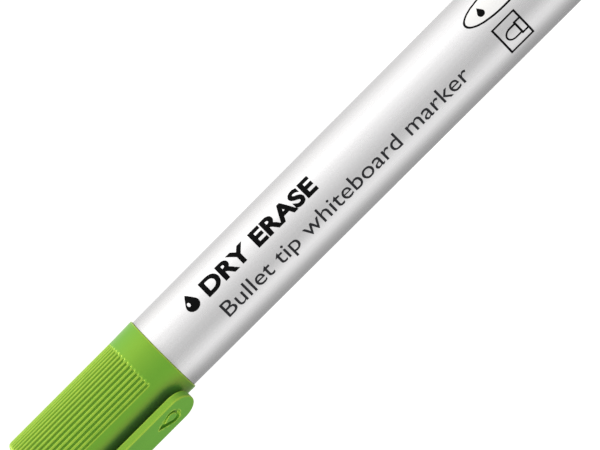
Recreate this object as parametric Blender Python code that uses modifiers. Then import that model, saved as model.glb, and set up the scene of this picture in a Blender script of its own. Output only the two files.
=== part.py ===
"""Whiteboard marker with a bullet nib, standing on its end plug with the capped nib upwards.

Units are metres. The origin is the centre of the end plug's flat face, +Z runs along the barrel to
the cap's closed end, and the clip lies on the -Y side. Turned pieces share one segment count and
phase, so that their facets stay parallel and the small radial gaps hold all the way round.
"""

import math

import bmesh
import bpy
from mathutils import Matrix

MM = 0.001
SEGMENTS = 36
MERGE_DISTANCE = 0.005 * MM
SMOOTH_ANGLE = math.radians(35)

# Gaps between pieces
PRESS_GAP = 0.15 * MM  # radial, where one piece is pressed into another
SLIDE_GAP = 0.25 * MM  # radial, where the cap slides over its seat
FACE_GAP = 0.1 * MM  # between flat faces that butt together
FILM_GAP = 0.05 * MM  # radial, between the reservoir's fibres and its film

# Barrel
BARREL_LENGTH = 98.8 * MM
BARREL_FRONT_RADIUS = 7.7 * MM
BARREL_DRAFT = 0.35 * MM  # how much wider the rear end is than the front end
BARREL_WALL = 1.2 * MM
BARREL_RIM_FILLET = 0.25 * MM
CENTRING_RIBS = 4
CENTRING_RIB_HEIGHT = 0.65 * MM
CENTRING_RIB_WIDTH = 1.0 * MM
CENTRING_RIB_MARGIN = 2.0 * MM  # from a rib's end to the piece that is pressed in there

# End plug
POST_LENGTH = 6.8 * MM
POST_FILLET = 0.6 * MM
COLLAR_THICKNESS = 1.2 * MM
COLLAR_STEP = 0.45 * MM  # how far the collar stands inside the barrel's rear radius
COLLAR_FILLET = 0.3 * MM
SPIGOT_LENGTH = 6.0 * MM
SPIGOT_WALL = 1.1 * MM
SPIGOT_FLOOR = 1.4 * MM
LEAD_IN = 0.4 * MM  # chamfer on each end that is pushed into something

# Front section, which carries the nib
SHOULDER_WIDTH = 0.95 * MM  # the step from the barrel's surface down to the cap's seat
TAIL_LENGTH = 10.0 * MM
TAIL_WALL = 1.0 * MM
SEAT_LENGTH = 8.0 * MM
SNAP_BEAD_POSITION = 2.6 * MM
SNAP_BEAD_HEIGHT = 0.1 * MM
SNAP_BEAD_LENGTH = 1.2 * MM
NOSE_LENGTH = 7.0 * MM
NOSE_STEP = 1.0 * MM
NOZZLE_LENGTH = 3.0 * MM
NOZZLE_WALL = 1.15 * MM
NOZZLE_STEP = 0.3 * MM
NOZZLE_CHAMFER = 0.3 * MM
FUNNEL_LENGTH = 4.0 * MM
VENT_SLOTS = 4
VENT_WIDTH = 0.6 * MM
VENT_DEPTH = 0.45 * MM

# Nib
NIB_RADIUS = 2.35 * MM
NIB_GAP = 0.1 * MM
NIB_REACH = 5.0 * MM  # from the nozzle's end to the writing tip
NIB_BULLET_LENGTH = 3.4 * MM
NIB_TIP_RADIUS = 0.9 * MM
NIB_TAIL_DEPTH = 8.0 * MM  # how far the nib's tail plunges into the reservoir
NIB_TAIL_CHAMFER = 0.5 * MM

# Ink reservoir
FILM_THICKNESS = 0.25 * MM

# Cap
CAP_LENGTH = 31.0 * MM
CAP_PROUD = 0.35 * MM  # how far the cap's mouth stands proud of the barrel
CAP_DRAFT = 0.1 * MM  # how much narrower the closed end is than the mouth
CAP_LIP_FILLET = 0.3 * MM
CAP_END_FILLET = 1.0 * MM
CAP_END_WALL = 1.2 * MM
CAP_SEAT_MARGIN = 1.5 * MM  # how far the wide bore runs on past the seat
CAP_BORE_STEP = 0.4 * MM  # how much narrower the bore is above the seat

# Grip grooves, which leave a smooth panel behind the clip
GROOVE_PITCH = 0.918 * MM  # along the cap's surface
GROOVE_DEPTH = 0.35 * MM
COLLAR_LENGTH = 5.3 * MM  # smooth band between the cap's mouth and the grooves
PANEL_MARGIN = 2.7 * MM  # smooth surface on each side of the clip

# Cap liner, the inner cup that keeps the nib wet
LINER_FLANGE = 0.8 * MM
LINER_GAP = 0.15 * MM
LINER_WALL = 0.8 * MM
LINER_MOUTH_GAP = 0.4 * MM  # from the sleeve's mouth to the nose's end

# Clip
CLIP_WIDTH = 6.6 * MM
CLIP_THICKNESS = 1.5 * MM
CLIP_TIP_MARGIN = 1.7 * MM  # from the cap's mouth to the clip's free end
CLIP_TIP_GAP = 0.55 * MM
CLIP_ROOT_GAP = 0.95 * MM
CLIP_ROOT_LENGTH = 4.4 * MM
CLIP_ROOT_SPLIT = 0.2 * MM  # between the root block and the arm, where the arm flexes
CLIP_ROOT_SETBACK = 0.5 * MM  # from the root block's top to the cap's closed end
CLIP_ROOT_FILLET = 2.2 * MM
CLIP_EDGE_FILLET = 0.25 * MM
CLIP_NOSE_HEIGHT = 0.25 * MM  # how far the nose stands out of the arm's inner face
CLIP_NOSE_WIDTH = 2.6 * MM
CLIP_NOSE_POSITION = 2.2 * MM  # from the free end
DROP_LENGTH = 5.4 * MM
DROP_RADIUS = 1.8 * MM
DROP_DEPTH = 0.3 * MM
DROP_POSITION = 4.9 * MM  # from the free end to the middle of the drop's round part

ARC_STEPS = 3

# Heights along the marker
COLLAR_BOTTOM_Z = POST_LENGTH
COLLAR_TOP_Z = COLLAR_BOTTOM_Z + COLLAR_THICKNESS
BARREL_REAR_Z = COLLAR_TOP_Z + FACE_GAP
BARREL_FRONT_Z = BARREL_REAR_Z + BARREL_LENGTH
SEAT_Z = BARREL_FRONT_Z + FACE_GAP  # the cap's mouth and the front section's seat start here
SPIGOT_TOP_Z = COLLAR_TOP_Z + SPIGOT_LENGTH
TAIL_END_Z = SEAT_Z - TAIL_LENGTH
SEAT_TOP_Z = SEAT_Z + SEAT_LENGTH
NOSE_TOP_Z = SEAT_TOP_Z + NOSE_LENGTH
NOZZLE_TOP_Z = NOSE_TOP_Z + NOZZLE_LENGTH
NIB_TIP_Z = NOZZLE_TOP_Z + NIB_REACH
RESERVOIR_BOTTOM_Z = SPIGOT_TOP_Z + FACE_GAP
RESERVOIR_TOP_Z = TAIL_END_Z - FACE_GAP
NIB_TAIL_Z = RESERVOIR_TOP_Z - NIB_TAIL_DEPTH

# Radii that follow from the sizes above
BARREL_REAR_RADIUS = BARREL_FRONT_RADIUS + BARREL_DRAFT
BORE_FRONT_RADIUS = BARREL_FRONT_RADIUS - BARREL_WALL
BORE_REAR_RADIUS = BARREL_REAR_RADIUS - BARREL_WALL
SEAT_RADIUS = BARREL_FRONT_RADIUS - SHOULDER_WIDTH
POST_RADIUS = SEAT_RADIUS  # so that the cap can be pushed onto the rear end
RESERVOIR_RADIUS = BORE_FRONT_RADIUS - CENTRING_RIB_HEIGHT - PRESS_GAP
CORE_RADIUS = RESERVOIR_RADIUS - FILM_THICKNESS - FILM_GAP
NIB_BORE_RADIUS = NIB_RADIUS + NIB_GAP
NOZZLE_RADIUS = NIB_BORE_RADIUS + NOZZLE_WALL
CAP_MOUTH_RADIUS = BARREL_FRONT_RADIUS + CAP_PROUD
CAP_END_RADIUS = CAP_MOUTH_RADIUS - CAP_DRAFT
CAP_SEAT_BORE = SEAT_RADIUS + SLIDE_GAP
CAP_UPPER_BORE = CAP_SEAT_BORE - CAP_BORE_STEP

# Heights along the cap, from its mouth
CAP_CEILING = CAP_LENGTH - CAP_END_WALL
CLIP_TOP = CAP_LENGTH - CLIP_ROOT_SETBACK
CLIP_HINGE = CLIP_TOP - CLIP_ROOT_LENGTH
CLIP_ARM_LENGTH = CLIP_HINGE - CLIP_ROOT_SPLIT - CLIP_TIP_MARGIN


def between(start, end, share):
    return start + (end - start) * share


def bore_radius(z):
    """The barrel's inner radius at a height along the marker."""
    return between(BORE_REAR_RADIUS, BORE_FRONT_RADIUS, (z - BARREL_REAR_Z) / BARREL_LENGTH)


def cap_radius(height):
    """The cap's outer radius at a height above its mouth."""
    return between(CAP_MOUTH_RADIUS, CAP_END_RADIUS, height / CAP_LENGTH)


def clear_scene():
    for obj in list(bpy.data.objects):
        bpy.data.objects.remove(obj)


def new_collection(name):
    collection = bpy.data.collections.new(name)
    bpy.context.scene.collection.children.link(collection)
    return collection


def plastic(name, colour, roughness, metallic=0.0):
    material = bpy.data.materials.new(name)
    material.use_nodes = True
    shader = material.node_tree.nodes["Principled BSDF"]
    shader.inputs["Base Color"].default_value = (*colour, 1.0)
    shader.inputs["Roughness"].default_value = roughness
    shader.inputs["Metallic"].default_value = metallic
    return material


def arc(centre, radius, start, end, steps=ARC_STEPS):
    """Points on a circle's arc in the (radius, height) plane. Angles are in degrees from outwards."""
    angles = [math.radians(between(start, end, i / steps)) for i in range(steps + 1)]
    return [(centre[0] + radius * math.cos(a), centre[1] + radius * math.sin(a)) for a in angles]


def add_object(name, mesh, collection, parent=None, material=None):
    obj = bpy.data.objects.new(name, mesh)
    collection.objects.link(obj)
    obj.parent = parent
    if material:
        mesh.materials.append(material)
    return obj


def turned(name, outline, parent, material, closed=True):
    """A solid turned about Z from (radius, height) points that run down its outer side.

    A closed outline is a ring's section. An open one starts and ends on the axis.
    """
    edges = [(i, i + 1) for i in range(len(outline) - 1)]
    if closed:
        edges.append((len(outline) - 1, 0))
    mesh = bpy.data.meshes.new(name)
    mesh.from_pydata([(radius, 0.0, height) for radius, height in outline], edges, [])
    obj = add_object(name, mesh, marker, parent, material)
    screw = obj.modifiers.new("Turn", "SCREW")
    screw.steps = SEGMENTS
    screw.render_steps = SEGMENTS
    screw.use_merge_vertices = True
    screw.merge_threshold = MERGE_DISTANCE
    return obj


def plate(name, outline, thickness, parent):
    """A flat tool cut to (x, y) points, centred on its own XY plane, as a mesh that Booleans take."""
    curve = bpy.data.curves.new(name, "CURVE")
    curve.dimensions = "2D"
    curve.fill_mode = "BOTH"
    curve.extrude = thickness / 2
    spline = curve.splines.new("POLY")
    spline.points.add(len(outline) - 1)
    for point, (x, y) in zip(spline.points, outline):
        point.co = (x, y, 0.0, 1.0)
    spline.use_cyclic_u = True
    guide = add_object(name + "_outline", curve, tools)
    bpy.context.view_layer.update()
    graph = bpy.context.evaluated_depsgraph_get()
    mesh = bpy.data.meshes.new_from_object(guide.evaluated_get(graph))
    bpy.data.objects.remove(guide)
    cage = bmesh.new()
    cage.from_mesh(mesh)
    bmesh.ops.remove_doubles(cage, verts=cage.verts, dist=MERGE_DISTANCE)
    bmesh.ops.recalc_face_normals(cage, faces=cage.faces)
    cage.to_mesh(mesh)
    cage.free()
    return add_object(name, mesh, tools, parent)


def bars(name, parent, size, places):
    """Equal boxes in one mesh, one for each matrix in places."""
    cage = bmesh.new()
    for place in places:
        bmesh.ops.create_cube(cage, size=1.0, matrix=place @ Matrix.Diagonal((*size, 1.0)))
    mesh = bpy.data.meshes.new(name)
    cage.to_mesh(mesh)
    cage.free()
    return add_object(name, mesh, tools, parent)


def combine(obj, tool, operation):
    """Joins the tool to the piece, or cuts it out, and keeps the tool as a hidden helper."""
    boolean = obj.modifiers.new(tool.name, "BOOLEAN")
    boolean.operation = operation
    boolean.object = tool
    tool.display_type = "WIRE"
    tool.hide_render = True


def shade_round(obj):
    """Bakes the piece's modifiers into its mesh, then shades its round faces smooth."""
    bpy.context.view_layer.update()
    graph = bpy.context.evaluated_depsgraph_get()
    mesh = bpy.data.meshes.new_from_object(obj.evaluated_get(graph))
    mesh.name = obj.name
    obj.modifiers.clear()
    obj.data = mesh
    mesh.shade_smooth()
    mesh.set_sharp_from_angle(angle=SMOOTH_ANGLE)


def frame_empty(name, location, parent=None):
    """An empty on a joint's axis, which the joint's pieces are parented to."""
    empty = add_object(name, None, marker, parent)
    empty.location = location
    return empty


def spokes(count, radius, height, phase=0.0):
    """Matrices spaced evenly about Z, with local X pointing outwards."""
    for i in range(count):
        turn = Matrix.Rotation(phase + math.tau * i / count, 4, "Z")
        yield turn @ Matrix.Translation((radius, 0.0, height))


def make_barrel(parent, material):
    """The drafted tube, wider at its rear, with ribs inside that hold the reservoir in the middle."""
    rim = BARREL_RIM_FILLET
    outline = [
        (BORE_FRONT_RADIUS, BARREL_FRONT_Z),
        *arc((BARREL_FRONT_RADIUS - rim, BARREL_FRONT_Z - rim), rim, 90, 0),
        *arc((BARREL_REAR_RADIUS - rim, BARREL_REAR_Z + rim), rim, 0, -90),
        (BORE_REAR_RADIUS + rim, BARREL_REAR_Z),
        (BORE_REAR_RADIUS, BARREL_REAR_Z + rim),
    ]
    barrel = turned("barrel", outline, parent, material)
    bottom = SPIGOT_TOP_Z + CENTRING_RIB_MARGIN
    top = TAIL_END_Z - CENTRING_RIB_MARGIN
    inner = RESERVOIR_RADIUS + PRESS_GAP
    outer = BORE_REAR_RADIUS + BARREL_WALL / 4
    size = (outer - inner, CENTRING_RIB_WIDTH, top - bottom)
    places = spokes(CENTRING_RIBS, (inner + outer) / 2, (bottom + top) / 2)
    combine(barrel, bars("centring_ribs", parent, size, places), "UNION")
    return barrel


def make_end_plug(parent, material):
    """The rear stopper: a post that takes the cap, a collar on the rim, and a hollow spigot."""
    spigot = bore_radius(SPIGOT_TOP_Z) - PRESS_GAP
    collar = BARREL_REAR_RADIUS - COLLAR_STEP
    hollow = spigot - SPIGOT_WALL
    outline = [
        (0.0, COLLAR_TOP_Z + SPIGOT_FLOOR),
        (hollow, COLLAR_TOP_Z + SPIGOT_FLOOR),
        (hollow, SPIGOT_TOP_Z),
        (spigot - LEAD_IN, SPIGOT_TOP_Z),
        (spigot, SPIGOT_TOP_Z - LEAD_IN),
        (spigot, COLLAR_TOP_Z),
        *arc((collar - COLLAR_FILLET, COLLAR_TOP_Z - COLLAR_FILLET), COLLAR_FILLET, 90, 0),
        *arc((collar - COLLAR_FILLET, COLLAR_BOTTOM_Z + COLLAR_FILLET), COLLAR_FILLET, 0, -90),
        (POST_RADIUS, COLLAR_BOTTOM_Z),
        *arc((POST_RADIUS - POST_FILLET, POST_FILLET), POST_FILLET, 0, -90),
        (0.0, 0.0),
    ]
    return turned("end_plug", outline, parent, material, closed=False)


def make_reservoir(parent, fibre, film):
    """The ink-soaked fibre rod with a pocket for the nib's tail, and the film wrapped round it."""
    pocket = NIB_TAIL_Z - FACE_GAP
    core = [
        (0.0, pocket),
        (NIB_BORE_RADIUS, pocket),
        (NIB_BORE_RADIUS, RESERVOIR_TOP_Z),
        (CORE_RADIUS, RESERVOIR_TOP_Z),
        (CORE_RADIUS, RESERVOIR_BOTTOM_Z),
        (0.0, RESERVOIR_BOTTOM_Z),
    ]
    wrap = [
        (RESERVOIR_RADIUS - FILM_THICKNESS, RESERVOIR_TOP_Z),
        (RESERVOIR_RADIUS, RESERVOIR_TOP_Z),
        (RESERVOIR_RADIUS, RESERVOIR_BOTTOM_Z),
        (RESERVOIR_RADIUS - FILM_THICKNESS, RESERVOIR_BOTTOM_Z),
    ]
    return [
        turned("reservoir_core", core, parent, fibre, closed=False),
        turned("reservoir_film", wrap, parent, film),
    ]


def make_front_section(parent, material):
    """The nib's holder: a tail pressed into the barrel, the cap's seat, a cone and the nozzle."""
    tail = BORE_FRONT_RADIUS - PRESS_GAP
    hollow = tail - TAIL_WALL
    nose = SEAT_RADIUS - NOSE_STEP
    bead = SEAT_Z + SNAP_BEAD_POSITION
    outline = [
        (NIB_BORE_RADIUS, NOZZLE_TOP_Z),
        (NOZZLE_RADIUS - NOZZLE_CHAMFER, NOZZLE_TOP_Z),
        (NOZZLE_RADIUS, NOZZLE_TOP_Z - NOZZLE_CHAMFER),
        (NOZZLE_RADIUS, NOSE_TOP_Z),
        (NOZZLE_RADIUS + NOZZLE_STEP, NOSE_TOP_Z),
        (nose, SEAT_TOP_Z + NOSE_STEP),
        (SEAT_RADIUS - LEAD_IN, SEAT_TOP_Z),
        (SEAT_RADIUS, SEAT_TOP_Z - LEAD_IN),
        (SEAT_RADIUS, bead + SNAP_BEAD_LENGTH / 2),
        (SEAT_RADIUS + SNAP_BEAD_HEIGHT, bead),
        (SEAT_RADIUS, bead - SNAP_BEAD_LENGTH / 2),
        (SEAT_RADIUS, SEAT_Z),
        (tail, SEAT_Z),
        (tail, TAIL_END_Z + LEAD_IN),
        (tail - LEAD_IN, TAIL_END_Z),
        (hollow, TAIL_END_Z),
        (hollow, SEAT_TOP_Z),
        (NIB_BORE_RADIUS, SEAT_TOP_Z + FUNNEL_LENGTH),
    ]
    section = turned("front_section", outline, parent, material)
    bottom = SEAT_TOP_Z + FUNNEL_LENGTH / 2
    top = NOZZLE_TOP_Z + VENT_DEPTH
    outer = NIB_BORE_RADIUS + VENT_DEPTH
    inner = NIB_BORE_RADIUS - VENT_DEPTH
    size = (outer - inner, VENT_WIDTH, top - bottom)
    places = spokes(VENT_SLOTS, (inner + outer) / 2, (bottom + top) / 2)
    combine(section, bars("vent_slots", parent, size, places), "DIFFERENCE")
    return section


def make_nib(parent, material):
    """The fibre nib, whose bullet narrows along a quarter ellipse to its rounded tip."""
    bullet_base = NIB_TIP_Z - NIB_BULLET_LENGTH
    flat = NIB_TIP_RADIUS / 2
    steps = 2 * ARC_STEPS
    angles = [math.radians(90 * (1 - i / steps)) for i in range(steps + 1)]
    bullet = [
        (
            flat + (NIB_RADIUS - flat) * math.cos(angle),
            bullet_base + NIB_BULLET_LENGTH * math.sin(angle),
        )
        for angle in angles
    ]
    outline = [
        (0.0, NIB_TIP_Z),
        *bullet,
        (NIB_RADIUS, NIB_TAIL_Z + NIB_TAIL_CHAMFER),
        (NIB_RADIUS - NIB_TAIL_CHAMFER, NIB_TAIL_Z),
        (0.0, NIB_TAIL_Z),
    ]
    return turned("nib", outline, parent, material, closed=False)


def groove_places():
    """One matrix for each grip groove: local Z follows the cap's drafted surface."""
    middle = (COLLAR_LENGTH + CAP_LENGTH) / 2
    radius = cap_radius(middle)
    panel = math.asin((CLIP_WIDTH / 2 + PANEL_MARGIN) / radius)
    gaps = round((math.tau - 2 * panel) * radius / GROOVE_PITCH)
    lean = Matrix.Rotation(-math.atan(CAP_DRAFT / CAP_LENGTH), 4, "Y")
    edge_out = Matrix.Rotation(math.radians(45), 4, "Z")
    for i in range(gaps + 1):
        turn = math.radians(-90) + between(panel, math.tau - panel, i / gaps)
        out = Matrix.Translation((radius, 0.0, middle))
        yield Matrix.Rotation(turn, 4, "Z") @ out @ lean @ edge_out


def make_clip_root(parent):
    """The block on the cap's closed end that the clip's arm hangs from, as a side outline."""
    outer = cap_radius(CLIP_HINGE) + CLIP_ROOT_GAP + CLIP_THICKNESS
    inner = CAP_UPPER_BORE + PRESS_GAP
    corner = (outer - CLIP_ROOT_FILLET, CLIP_TOP - CLIP_ROOT_FILLET)
    outline = [
        (inner, CLIP_HINGE),
        (outer, CLIP_HINGE),
        *arc(corner, CLIP_ROOT_FILLET, 0, 90, 2 * ARC_STEPS),
        (inner, CLIP_TOP),
    ]
    root = plate("clip_root", outline, CLIP_WIDTH, parent)
    # The outline's x points out along -Y and its y points up along Z.
    stand_up = Matrix.Rotation(math.radians(90), 4, "X")
    root.matrix_basis = Matrix.Rotation(math.radians(-90), 4, "Z") @ stand_up
    return root


def make_cap_shell(parent, material):
    """The cap's outer shell with the clip's root block, and the grip grooves cut round it."""
    lip = CAP_LIP_FILLET
    fillet = CAP_END_FILLET
    wide = SEAT_LENGTH + CAP_SEAT_MARGIN
    outline = [
        (0.0, CAP_LENGTH),
        *arc((CAP_END_RADIUS - fillet, CAP_LENGTH - fillet), fillet, 90, 0),
        *arc((CAP_MOUTH_RADIUS - lip, lip), lip, 0, -90),
        (CAP_SEAT_BORE + lip, 0.0),
        (CAP_SEAT_BORE, lip),
        (CAP_SEAT_BORE, wide),
        (CAP_UPPER_BORE, wide + CAP_BORE_STEP),
        (CAP_UPPER_BORE, CAP_CEILING),
        (0.0, CAP_CEILING),
    ]
    shell = turned("cap_shell", outline, parent, material, closed=False)
    combine(shell, make_clip_root(parent), "UNION")
    side = GROOVE_DEPTH * math.sqrt(2)
    length = CAP_LENGTH - COLLAR_LENGTH
    grooves = bars("grip_grooves", parent, (side, side, length), groove_places())
    combine(shell, grooves, "DIFFERENCE")
    return shell


def make_cap_liner(parent, material):
    """The cup inside the cap whose sleeve closes round the nozzle and keeps the nib wet."""
    flange_top = CAP_CEILING - FACE_GAP
    flange_bottom = flange_top - LINER_FLANGE
    bore = NOZZLE_RADIUS + LINER_GAP
    sleeve = bore + LINER_WALL
    mouth = NOSE_TOP_Z - SEAT_Z + LINER_MOUTH_GAP
    outline = [
        (0.0, flange_top),
        (CAP_UPPER_BORE - PRESS_GAP, flange_top),
        (CAP_UPPER_BORE - PRESS_GAP, flange_bottom),
        (sleeve, flange_bottom),
        (sleeve, mouth),
        (bore + LINER_WALL / 2, mouth),
        (bore, mouth + LINER_WALL / 2),
        (bore, flange_bottom),
        (0.0, flange_bottom),
    ]
    return turned("cap_liner", outline, parent, material, closed=False)


def clip_lean():
    """How far the clip's arm leans in towards the cap, from its root to its free end."""
    rise = cap_radius(CLIP_HINGE) + CLIP_ROOT_GAP - cap_radius(CLIP_TIP_MARGIN) - CLIP_TIP_GAP
    return math.atan(rise / CLIP_ARM_LENGTH)


def drop_outline():
    """An ink drop: a circle below, whose tangents meet in a point above."""
    to_point = DROP_LENGTH - DROP_RADIUS
    half_angle = math.degrees(math.asin(DROP_RADIUS / to_point))
    round_part = arc((0.0, 0.0), DROP_RADIUS, half_angle, -180 - half_angle, 6 * ARC_STEPS)
    return [*round_part, (0.0, to_point)]


def make_clip_nose(parent, height):
    """The bump across the arm's inner face: a cylinder as thick as the arm, set in from it."""
    cage = bmesh.new()
    bmesh.ops.create_cone(
        cage,
        cap_ends=True,
        segments=SEGMENTS,
        radius1=CLIP_THICKNESS / 2,
        radius2=CLIP_THICKNESS / 2,
        depth=CLIP_NOSE_WIDTH,
        matrix=Matrix.Rotation(math.radians(90), 4, "Y"),
    )
    mesh = bpy.data.meshes.new("clip_nose")
    cage.to_mesh(mesh)
    cage.free()
    nose = add_object("clip_nose", mesh, tools, parent)
    nose.location = (0.0, CLIP_NOSE_HEIGHT, height)
    return nose


def make_clip(parent, material):
    """The clip's arm, with a round free end, a sunk drop outside and a gripping nose inside."""
    half = CLIP_WIDTH / 2
    tip = -CLIP_ROOT_SPLIT - CLIP_ARM_LENGTH
    outline = [
        (-half, -CLIP_ROOT_SPLIT),
        *arc((0.0, tip + half), half, 180, 360, 4 * ARC_STEPS),
        (half, -CLIP_ROOT_SPLIT),
    ]
    arm = plate("clip", outline, CLIP_THICKNESS, parent)
    tools.objects.unlink(arm)
    marker.objects.link(arm)
    arm.data.materials.append(material)
    # The outline's x runs along X and its y up along Z, so the plate's normal is -Y.
    arm.matrix_basis = Matrix.Rotation(math.radians(90), 4, "X")
    bevel = arm.modifiers.new("Edges", "BEVEL")
    bevel.width = CLIP_EDGE_FILLET
    bevel.segments = 2
    drop = plate("drop", drop_outline(), 2 * DROP_DEPTH, parent)
    drop.location = (0.0, -CLIP_THICKNESS / 2, tip + DROP_POSITION)
    drop.rotation_euler = (math.radians(90), 0.0, 0.0)
    combine(arm, drop, "DIFFERENCE")
    combine(arm, make_clip_nose(parent, tip + CLIP_NOSE_POSITION), "UNION")
    return arm


clear_scene()
marker = new_collection("whiteboard_marker")
tools = new_collection("tools")

silver = plastic("silver plastic", (0.78, 0.79, 0.80), 0.32, 0.35)
green = plastic("green plastic", (0.17, 0.46, 0.05), 0.42)
white = plastic("white plastic", (0.85, 0.86, 0.84), 0.4)
ink_fibre = plastic("inked fibre", (0.03, 0.22, 0.05), 0.9)
clear_film = plastic("reservoir film", (0.80, 0.88, 0.82), 0.25)

body_frame = frame_empty("body_frame", (0.0, 0.0, 0.0))
cap_frame = frame_empty("cap_pull_axis", (0.0, 0.0, SEAT_Z))
hinge_y = -(cap_radius(CLIP_HINGE) + CLIP_ROOT_GAP + CLIP_THICKNESS / 2)
clip_frame = frame_empty("clip_flex_axis", (0.0, hinge_y, CLIP_HINGE), cap_frame)
clip_frame.rotation_euler = (clip_lean(), 0.0, 0.0)

pieces = [
    make_barrel(body_frame, silver),
    make_end_plug(body_frame, green),
    *make_reservoir(body_frame, ink_fibre, clear_film),
    make_front_section(body_frame, silver),
    make_nib(body_frame, ink_fibre),
    make_cap_shell(cap_frame, green),
    make_cap_liner(cap_frame, white),
    make_clip(clip_frame, green),
]
for piece in pieces:
    shade_round(piece)
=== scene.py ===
"""Studio scene of a capped whiteboard marker, which stands on its end plug with the nib upwards.

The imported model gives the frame: metres, with +Z along the barrel to the cap's closed end and the
clip on the -Y side. Each visible piece is modelled again here, finer, in the place of its node.
"""

import math

import bmesh
import bpy
from mathutils import Matrix, Vector


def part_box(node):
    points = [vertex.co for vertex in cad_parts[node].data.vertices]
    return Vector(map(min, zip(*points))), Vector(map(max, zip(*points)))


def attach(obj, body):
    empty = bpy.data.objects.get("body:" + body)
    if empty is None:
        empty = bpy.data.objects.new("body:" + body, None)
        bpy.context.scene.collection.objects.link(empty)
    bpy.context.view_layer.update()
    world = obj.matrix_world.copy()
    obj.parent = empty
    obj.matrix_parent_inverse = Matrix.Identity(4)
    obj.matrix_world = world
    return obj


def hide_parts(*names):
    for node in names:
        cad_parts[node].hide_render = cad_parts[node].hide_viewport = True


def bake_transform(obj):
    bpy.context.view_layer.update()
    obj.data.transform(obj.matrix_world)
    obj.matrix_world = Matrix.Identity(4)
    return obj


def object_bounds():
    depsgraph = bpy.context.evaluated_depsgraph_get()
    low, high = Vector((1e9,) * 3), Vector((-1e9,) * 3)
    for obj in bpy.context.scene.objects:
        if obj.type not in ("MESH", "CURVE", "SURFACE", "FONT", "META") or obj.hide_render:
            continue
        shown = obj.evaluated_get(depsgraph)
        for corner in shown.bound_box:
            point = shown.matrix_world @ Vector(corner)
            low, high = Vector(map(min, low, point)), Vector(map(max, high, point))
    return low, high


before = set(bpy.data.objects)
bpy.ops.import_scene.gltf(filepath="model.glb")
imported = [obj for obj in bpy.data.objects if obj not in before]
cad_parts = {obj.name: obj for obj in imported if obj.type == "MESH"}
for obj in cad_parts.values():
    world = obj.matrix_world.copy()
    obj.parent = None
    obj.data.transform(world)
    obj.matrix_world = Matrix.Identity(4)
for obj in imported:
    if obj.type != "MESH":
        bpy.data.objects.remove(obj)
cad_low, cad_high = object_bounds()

MM = 0.001

# ---- Sizes, from the frame's nodes and the walls that their boxes don't show ----

SEGMENTS = 128
ROUND_STEPS = 4
SMOOTH_ANGLE = math.radians(32)
WELD = 0.002 * MM

barrel_low, barrel_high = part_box("barrel")
plug_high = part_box("end_plug")[1]
front_low, front_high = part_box("front_section")
nib_low, nib_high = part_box("nib")
shell_low, shell_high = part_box("cap_shell")
liner_low, liner_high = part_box("cap_liner")
clip_low, clip_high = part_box("clip")

MOUTH_Z = shell_low.z  # the cap's mouth, which is also the shoulder that it stops on
CAP_TOP_Z = shell_high.z

REAR_RADIUS = barrel_high.x
FRONT_RADIUS = REAR_RADIUS - 0.35 * MM
BARREL_WALL = 1.2 * MM

CAP_MOUTH_RADIUS = shell_high.x
CAP_DRAFT = 0.1 * MM
CAP_BORE = 7.0 * MM
CAP_UPPER_BORE = 6.6 * MM

SEAT_RADIUS = 6.75 * MM
NOZZLE_RADIUS = 3.6 * MM
NIB_RADIUS = nib_high.x
NIB_BORE = NIB_RADIUS + 0.1 * MM


def mm(*sizes):
    """Millimetres as metres: one number, or a tuple of them."""
    scaled = tuple(size * MM for size in sizes)
    return scaled[0] if len(scaled) == 1 else scaled


# ---- Modelling by hand: open a piece, select by place, and work on the selection ----


def pick(piece):
    """Selects this piece alone, for the operators that follow."""
    bpy.ops.object.select_all(action="DESELECT")
    piece.select_set(True)
    bpy.context.view_layer.objects.active = piece


def open_piece(piece):
    """Opens a piece in edit mode with nothing selected."""
    pick(piece)
    bpy.ops.object.mode_set(mode="EDIT")
    bpy.ops.mesh.select_all(action="DESELECT")


def close_piece():
    bpy.ops.object.mode_set(mode="OBJECT")


def select(piece, kind, wanted):
    """Selects the open piece's VERT, EDGE or FACE elements that the test wants, and only those."""
    bpy.ops.mesh.select_mode(type=kind)
    bpy.ops.mesh.select_all(action="DESELECT")
    cage = bmesh.from_edit_mesh(piece.data)
    elements = {"VERT": cage.verts, "EDGE": cage.edges, "FACE": cage.faces}[kind]
    for element in elements:
        if wanted(element):
            element.select_set(True)
    cage.select_flush_mode()
    bmesh.update_edit_mesh(piece.data)


def settle(piece):
    """Takes a primitive's place and scale into its mesh, which leaves its object at the origin."""
    pick(piece)
    bpy.ops.object.transform_apply(location=True, rotation=True, scale=True)
    return piece


def apply_modifier(piece, kind, **settings):
    pick(piece)
    modifier = piece.modifiers.new(kind.title(), kind)
    for name, value in settings.items():
        setattr(modifier, name, value)
    bpy.ops.object.modifier_apply(modifier=modifier.name)


def combine(piece, tool, operation):
    """Joins the tool to the piece, or cuts it out, and removes the tool."""
    apply_modifier(piece, "BOOLEAN", operation=operation, object=tool, solver="EXACT")
    bpy.data.objects.remove(tool)


def shade(piece, angle=SMOOTH_ANGLE):
    pick(piece)
    bpy.ops.object.shade_smooth_by_angle(angle=angle)


def radius_of(point):
    return math.hypot(point.x, point.y)


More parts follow.
